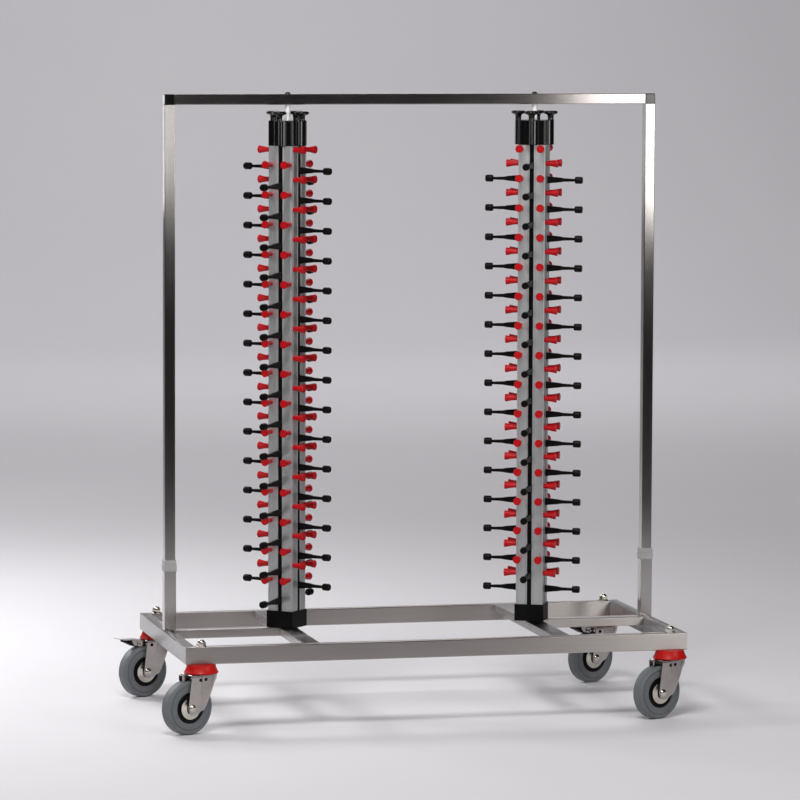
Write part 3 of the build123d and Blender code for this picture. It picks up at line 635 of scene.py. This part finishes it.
def tyre_shape():
    """A tyre with rounded shoulders, a moulded line at the edge of the tread and one on each wall."""
    half = [(36, 14.4), (37.0, 15.5), (40, 15.9), (49.6, 16), (50.3, 15.6), (50.8, 14.1), (52.2, 14.0),
            (52.8, 15.3), (54, 15.7), (56.8, 15.2), (59.2, 13.9), (60.3, 12.8), (60.5, 12.0), (61.5, 11.6),
            (61.7, 11.0), (62.2, 10.3), (62.4, 8), (62.5, 4)]
    profile = millimetres(*half, *[(r, -y) for r, y in reversed(half)], half[0])
    return join((turned(profile, 96), wheel_middle @ out_of_wheel))


def rim_shape():
    """The moulded centre, recessed behind the tyre, with a lip and a hub."""
    half = [(4.06, 16.2), (10, 16.2), (12, 15.8), (12.6, 13.6), (24, 12.6), (30, 13.4), (33.4, 14.8),
            (35.3, 14.8), (35.9, 14.3)]
    profile = millimetres(*half, *[(r, -y) for r, y in reversed(half)], half[0])
    return join((turned(profile, 64), wheel_middle @ out_of_wheel))


def pedal_shape():
    """The thin bent tread plate, tapered towards its tip, with the folded flanks and the pin that carry it."""
    sheet = plate(millimetres((59, 142), (98, 143.4), (118, 148.4), (118, 147), (98, 141.9), (59, 140.4)),
                  25.6 * MM, {}, 0.45 * MM)
    tip, taper = 112 * MM, 0.62
    for corner in sheet.verts:
        if corner.co.x > tip:
            corner.co.y *= taper
    flank = plate(millimetres((64.6, 142), (80, 142.3), (77, 134), (72, 128), (66, 126), (64.6, 127)), 2 * MM,
                  {2: 3 * MM, 3: 3 * MM, 4: 3 * MM}, 0.7 * MM)
    pin = turned(millimetres((0, -22), (2.5, -22), (2.5, 22), (0, 22)), 20)
    sides = [(flank, move(0, side * 11.9 * MM, 0)) for side in (-1, 1)]
    return join(sheet, *sides, (pin, move(57 * MM, 0, 131 * MM) @ out_of_wheel))


def brake_shoe_shape():
    """The black wedge under the pedal's plate."""
    return plate(millimetres((66, 140.6), (95, 141.9), (97.6, 140.6), (97.6, 137.4), (84, 131.5), (72, 125.6),
                             (66, 124)), 21 * MM, {2: 1.2 * MM, 4: 4 * MM}, 0.6 * MM)


forks = {-1: fork_shape(False), 1: fork_shape(True)}
axle, tyre, rim, pedal, shoe = axle_shape(), tyre_shape(), rim_shape(), pedal_shape(), brake_shoe_shape()
for corner, (sx, sy) in castors.items():
    place = move(base.x + sx * castor_x, base.y + sy * castor_y, 0) @ turn(castor_turn)
    castor, wheel, brake = f"castor_{corner}", f"wheel_{corner}", f"brake_{corner}"
    piece(f"fork_{corner}_pressed", join((forks[sy], place)), bright_steel, castor,
          (f"{castor}_fork",), 30)
    piece(f"axle_{corner}_and_discs", join((axle, place)), polished_steel, castor,
          (f"{castor}_axle",), 30)
    piece(f"tyre_{corner}_grey", join((tyre, place)), grey_tyre, wheel, (f"{castor}_tyre",), 40)
    piece(f"rim_{corner}_black", join((rim, place)), rim_black, wheel, (f"{castor}_rim",), 40)
    if sy > 0:
        piece(f"pedal_{corner}_plate", join((pedal, place)), bright_steel, brake,
              (f"{castor}_pedal",), 30)
        piece(f"pedal_{corner}_shoe", join((shoe, place)), satin_black, brake)

# ---- columns ----
column_half = 32.5 * MM
levels, pitch = 15, 70 * MM
# The heights of the top bumpers and of a carrier whose arms are level with them, in millimetres.
top_level, low_face_drop, carrier_top = 1330, 35, 1420
low_faces = {"left": (0, 2), "right": (1, 3)}
bumper_out = 25.5 * MM


def face_turn(side, face):
    """The angle of the direction that a face looks in, from the place of its knob."""
    knob = box_middle(f"{side}_column_knob_{face}")
    return atan2(knob.y - column_y, knob.x - column_x[side])


def face_place(side, face, reach=0.0, z=0.0):
    """Local X across the face, local Y up, local Z outwards."""
    angle = face_turn(side, face)
    outward, up = Vector((cos(angle), sin(angle), 0)), Vector((0, 0, 1))
    across = up.cross(outward)
    turned_to = Matrix((across, up, outward)).transposed().to_4x4()
    return move(column_x[side], column_y, z) @ turned_to @ move(0, 0, reach)


def lowest_level(side, face):
    """The height of the lowest bumpers of a face."""
    drop = low_face_drop if face in low_faces[side] else 0
    return (top_level - drop) * MM - (levels - 1) * pitch


def profile_shape(height):
    """One corner profile: two legs with shallow grooves, a rounded corner and the lips of the slots."""
    slot, half, wall, lip = 5.3, 32.5, 2.5, 16
    groove = 0.6
    leg = [(half, slot), (half, slot + 2.2), (half - groove, slot + 2.7), (half - groove, slot + 3.5),
           (half, slot + 4), (half, half - 5.4), (half - groove, half - 4.9), (half - groove, half - 4.1),
           (half, half - 3.6), (half, half - 1.5), (half - 0.44, half - 0.44)]
    outside = leg + [(y, x) for x, y in reversed(leg[:-1])]
    inside = [(slot, lip), (slot + 2, lip), (slot + 2, half - wall), (half - wall, half - wall),
              (half - wall, slot + 2), (lip, slot + 2), (lip, slot)]
    shape = bmesh.new()
    shape.faces.new([shape.verts.new((x * MM, y * MM, 0)) for x, y in outside + inside])
    draw_out(shape, (0, 0, height))
    bmesh.ops.triangulate(shape, faces=[f for f in shape.faces if len(f.verts) > 4])
    bmesh.ops.recalc_face_normals(shape, faces=shape.faces)
    return shape


def cap_shape(height):
    """The lobed head: four round lobes on a square with rounded corners, its rims rounded at top and foot."""
    lobe_x, lobe_r, half, corner_r = 30 * MM, 17 * MM, 34.5 * MM, 6 * MM
    lobe_sweep = radians(74.65)
    shape = bmesh.new()
    for quarter in range(4):
        facing = turn(quarter * pi / 2)
        start = Vector((lobe_x + lobe_r * cos(lobe_sweep), -lobe_r * sin(lobe_sweep), 0))
        bmesh.ops.spin(shape, geom=[shape.verts.new(facing @ start)], cent=facing @ Vector((lobe_x, 0, 0)),
                       axis=(0, 0, 1), angle=2 * lobe_sweep, steps=16)
        bmesh.ops.spin(shape, geom=[shape.verts.new(facing @ Vector((half, half - corner_r, 0)))],
                       cent=facing @ Vector((half - corner_r, half - corner_r, 0)), axis=(0, 0, 1), angle=pi / 2,
                       steps=5)
    # The arcs are open at their ends. A straight edge joins each end to that of the next arc, which is
    # near and at another distance from the middle, while both ends of one arc are equally far.
    near, unlike = 13 * MM, 0.1 * MM
    ends = sorted((v for v in shape.verts if len(v.link_edges) == 1), key=lambda v: atan2(v.co.y, v.co.x))
    pairs = [(one, other) for one, other in zip(ends, ends[1:] + ends[:1])
             if (one.co - other.co).length < near and abs(one.co.length - other.co.length) > unlike]
    for pair in pairs:
        shape.edges.new(pair)
    bmesh.ops.holes_fill(shape, edges=shape.edges[:], sides=0)
    draw_out(shape, (0, 0, height))
    bmesh.ops.recalc_face_normals(shape, faces=shape.faces)
    round_over(shape, level_edges(shape, 2), 1.2 * MM, 3)
    return shape


bumper = turned(millimetres((0, -1), (5.5, -1), (5.6, 4), (6.4, 13), (9.1, 26.4), (9.6, 28.2), (8.9, 29.5),
                            (0, 29.5)), 12)
arm_cap = turned(millimetres((3.2, 0), (7.0, 0), (8.3, 1.6), (8.5, 5), (8.5, 15), (7.2, 18), (0, 18)), 12)


def arm_shape():
    """A tapering arm with a shoulder half way, and the rubber cap on its end. Local Z is outwards."""
    body = plate(millimetres((31, 8.5), (40, 8.1), (64, 5.9), (72, 4.2), (99.5, 3), (99.5, -3), (72, -3.8),
                             (64, -5.2), (31, -8.5)), 8 * MM, {}, 1.1 * MM, 1)
    stand = Matrix(((0, 1, 0, 0), (0, 0, 1, 0), (1, 0, 0, 0), (0, 0, 0, 1)))
    return join((body, stand), (arm_cap, move(0, 0, 99 * MM)))


def knob_shape(neck_high, screw_long):
    """A mushroom knob: a thin disc with a rounded rim on a waisted neck, and the screw below."""
    top = neck_high + 9 * MM
    return turned([(0, top), (8 * MM, top), (13.6 * MM, top - 0.3 * MM), (15.8 * MM, top - 1.2 * MM),
                   (16.9 * MM, top - 3 * MM), (17 * MM, top - 4.6 * MM), (16.4 * MM, top - 6.4 * MM),
                   (14.6 * MM, top - 7.8 * MM), (10 * MM, neck_high), (7.9 * MM, neck_high - 2 * MM),
                   (7.1 * MM, neck_high - 6 * MM), (7.1 * MM, 2 * MM), (7.5 * MM, 0), (3 * MM, 0),
                   (3 * MM, -screw_long), (0, -screw_long)], 36)


arm = arm_shape()
socket_wide, socket_wall, socket_floor = 70 * MM, 2.4 * MM, 8 * MM
floor_wide = socket_wide - 1 * MM
boss = turned(millimetres((0, 8), (9, 8), (9, 24), (0, 24)), 24)
carrier_wide, carrier_deep, carrier_out = 10.4 * MM, 13 * MM, 25 * MM
knob_neck = 13 * MM
for side in ("left", "right"):
    column = f"{side}_column"
    axis_place = move(column_x[side], column_y, 0) @ turn(face_turn(side, 0))
    low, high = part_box(f"{column}_profiles")
    profile = profile_shape(high.z - low.z)
    profiles = bmesh.new()
    for quarter in range(4):
        copy_into(profiles, profile, axis_place @ move(0, 0, low.z) @ turn(quarter * pi / 2))
    piece(f"{column}_corner_profiles", profiles, profile_finish, column, (f"{column}_profiles",), 25)

    # The socket: four walls round the foot of the profiles, a floor and the bearing boss.
    low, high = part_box(f"{column}_socket")
    cup = bmesh.new()
    for quarter in range(4):
        copy_into(cup, block((socket_wide, socket_wall, high.z - low.z), 0.9 * MM, 3),
                  axis_place @ turn(quarter * pi / 2)
                  @ move(0, (socket_wide - socket_wall) / 2, (low.z + high.z) / 2))
    copy_into(cup, block((floor_wide, floor_wide, socket_floor), 1 * MM, 2),
              axis_place @ move(0, 0, low.z + socket_floor / 2))
    copy_into(cup, boss, axis_place @ move(0, 0, low.z))
    piece(f"{column}_foot_socket", cup, satin_black, column, (f"{column}_socket",), 30)

    low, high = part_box(f"{column}_cap")
    cap = join((cap_shape(high.z - low.z), axis_place @ move(0, 0, low.z)))
    piece(f"{column}_lobed_cap", cap, gloss_black, column, (f"{column}_cap",), 40)

    bumpers = bmesh.new()
    for face in range(4):
        for level in range(levels):
            z = lowest_level(side, face) + level * pitch
            for x in (-bumper_out, bumper_out):
                copy_into(bumpers, bumper, face_place(side, face, column_half, z) @ move(x, 0, 0))
    piece(f"{column}_red_bumpers", bumpers, red_rubber, column, (f"{column}_bumpers",), 45)

    for face in range(4):
        node = f"{column}_arms_{face}"
        low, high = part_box(node)
        lowest_arm = (high.z - carrier_top * MM) + lowest_level(side, face)
        arms = bmesh.new()
        for level in range(levels):
            copy_into(arms, arm, face_place(side, face, 0, lowest_arm + level * pitch))
        copy_into(arms, block((carrier_wide, high.z - low.z, carrier_deep), 0.8 * MM, 2),
                  face_place(side, face, carrier_out, (low.z + high.z) / 2))
        piece(f"{side}_arms_{face}_black", arms, satin_black, f"{side}_carrier_{face}", (node,), 40)

        node = f"{column}_knob_{face}"
        middle, low_end = box_middle(node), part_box(node)[0].z
        knob = join((knob_shape(knob_neck, cap_top - low_end), move(middle.x, middle.y, cap_top)))
        piece(f"{side}_knob_{face}_mushroom", knob, gloss_black, f"{side}_knob_{face}", (node,), 50)


# ---- studio ----
def studio_floor():
    """A pale floor that sweeps up into a wall far behind the cart."""
    near, far, radius, height, half = -14, 14, 3.5, 11, 30
    shape = bmesh.new()
    points = [shape.verts.new((-half, y, 0)) for y in (near, far - radius)]
    shape.edges.new(points)
    made = bmesh.ops.spin(shape, geom=[points[-1]], cent=(-half, far - radius, radius), axis=(1, 0, 0),
                          angle=pi / 2, steps=24)
    shape.edges.new((corners_of(made["geom_last"])[0], shape.verts.new((-half, far, height))))
    bmesh.ops.remove_doubles(shape, verts=shape.verts, dist=1e-5)
    made = bmesh.ops.extrude_edge_only(shape, edges=shape.edges[:])
    bmesh.ops.translate(shape, vec=(2 * half, 0, 0), verts=corners_of(made["geom"]))
    bmesh.ops.recalc_face_normals(shape, faces=shape.faces)
    made = new_object("studio_floor", shape)
    made.data.shade_smooth()
    made.data.materials.append(paper_floor("pale_floor"))


studio_floor()


def softbox(name, place, aim, size, power, spread, colour=(1, 1, 1)):
    """A rectangular soft light that the camera doesn't see, its beam spread in degrees."""
    data = bpy.data.lights.new(name, "AREA")
    data.shape, data.size, data.size_y = "RECTANGLE", *size
    data.energy, data.color, data.spread = power, colour, radians(spread)
    light = bpy.data.objects.new(name, data)
    light.location = place
    light.rotation_euler = (Vector(aim) - Vector(place)).to_track_quat("-Z", "Y").to_euler()
    light.visible_camera = False
    bpy.context.scene.collection.objects.link(light)


softbox("far_overhead", (1.0, 8.0, 7.0), (1.0, 8.0, 0.0), (9, 4.5), 375, 180, (1.0, 0.985, 1.0))
softbox("high_front", (-1.5, -3.4, 5.2), (0, 0.2, 0.7), (2.0, 1.6), 42, 80)
softbox("front_left", (-0.62, -3.0, 1.74), (-0.62, 0.0, 1.74), (0.75, 1.3), 10, 180)
softbox("side_left", (-2.6, -2.0, 2.0), (-0.3, 0.0, 1.6), (1.0, 1.7), 15, 180)
softbox("left_floor", (-2.7, 2.1, 3.0), (-2.0, 1.2, 0), (1.2, 1.2), 43, 100)
softbox("left_ground", (-2.4, 4.0, 3.0), (-1.2, 3.0, 0), (1.6, 1.6), 16, 110)
softbox("back_left", (-1.45, 3.0, 1.78), (-0.6, 0.0, 1.78), (0.9, 1.5), 10, 180)
softbox("right_front", (2.0, -3.1, 1.70), (0.6, 0, 1.55), (1.3, 1.4), 37, 180, (1.0, 0.99, 0.97))
softbox("backdrop", (3.4, 7.0, 6.5), (3.4, 14.0, 3.0), (5, 2.5), 96, 150, (1.0, 0.98, 1.0))

faint_air = (0.003, 0.003, 0.0032, 1)
world = bpy.data.worlds.new("studio_air")
world.use_nodes = True
world.node_tree.nodes["Background"].inputs["Color"].default_value = faint_air
bpy.context.scene.world = world
bpy.context.scene.view_settings.view_transform = "Standard"

# ---- camera: where the photograph was taken from ----
focal_pixels, image_pixels, sensor = 4583.7, 800, 36
standpoint = Vector((-2.5324, -10.5477, 1.7233))
pan, tilt, roll = -0.2333, 0.0910, 0.0039
lens = bpy.data.cameras.new("photo_view")
lens.sensor_width = sensor
lens.lens = focal_pixels / image_pixels * sensor
lens.clip_start, lens.clip_end = 0.5, 200
camera = bpy.data.objects.new("photo_view", lens)
camera.location = base + standpoint
camera.rotation_euler = (turn(pan) @ turn(pi / 2 - tilt, "X") @ turn(roll)).to_euler()
bpy.context.scene.collection.objects.link(camera)
bpy.context.scene.camera = camera
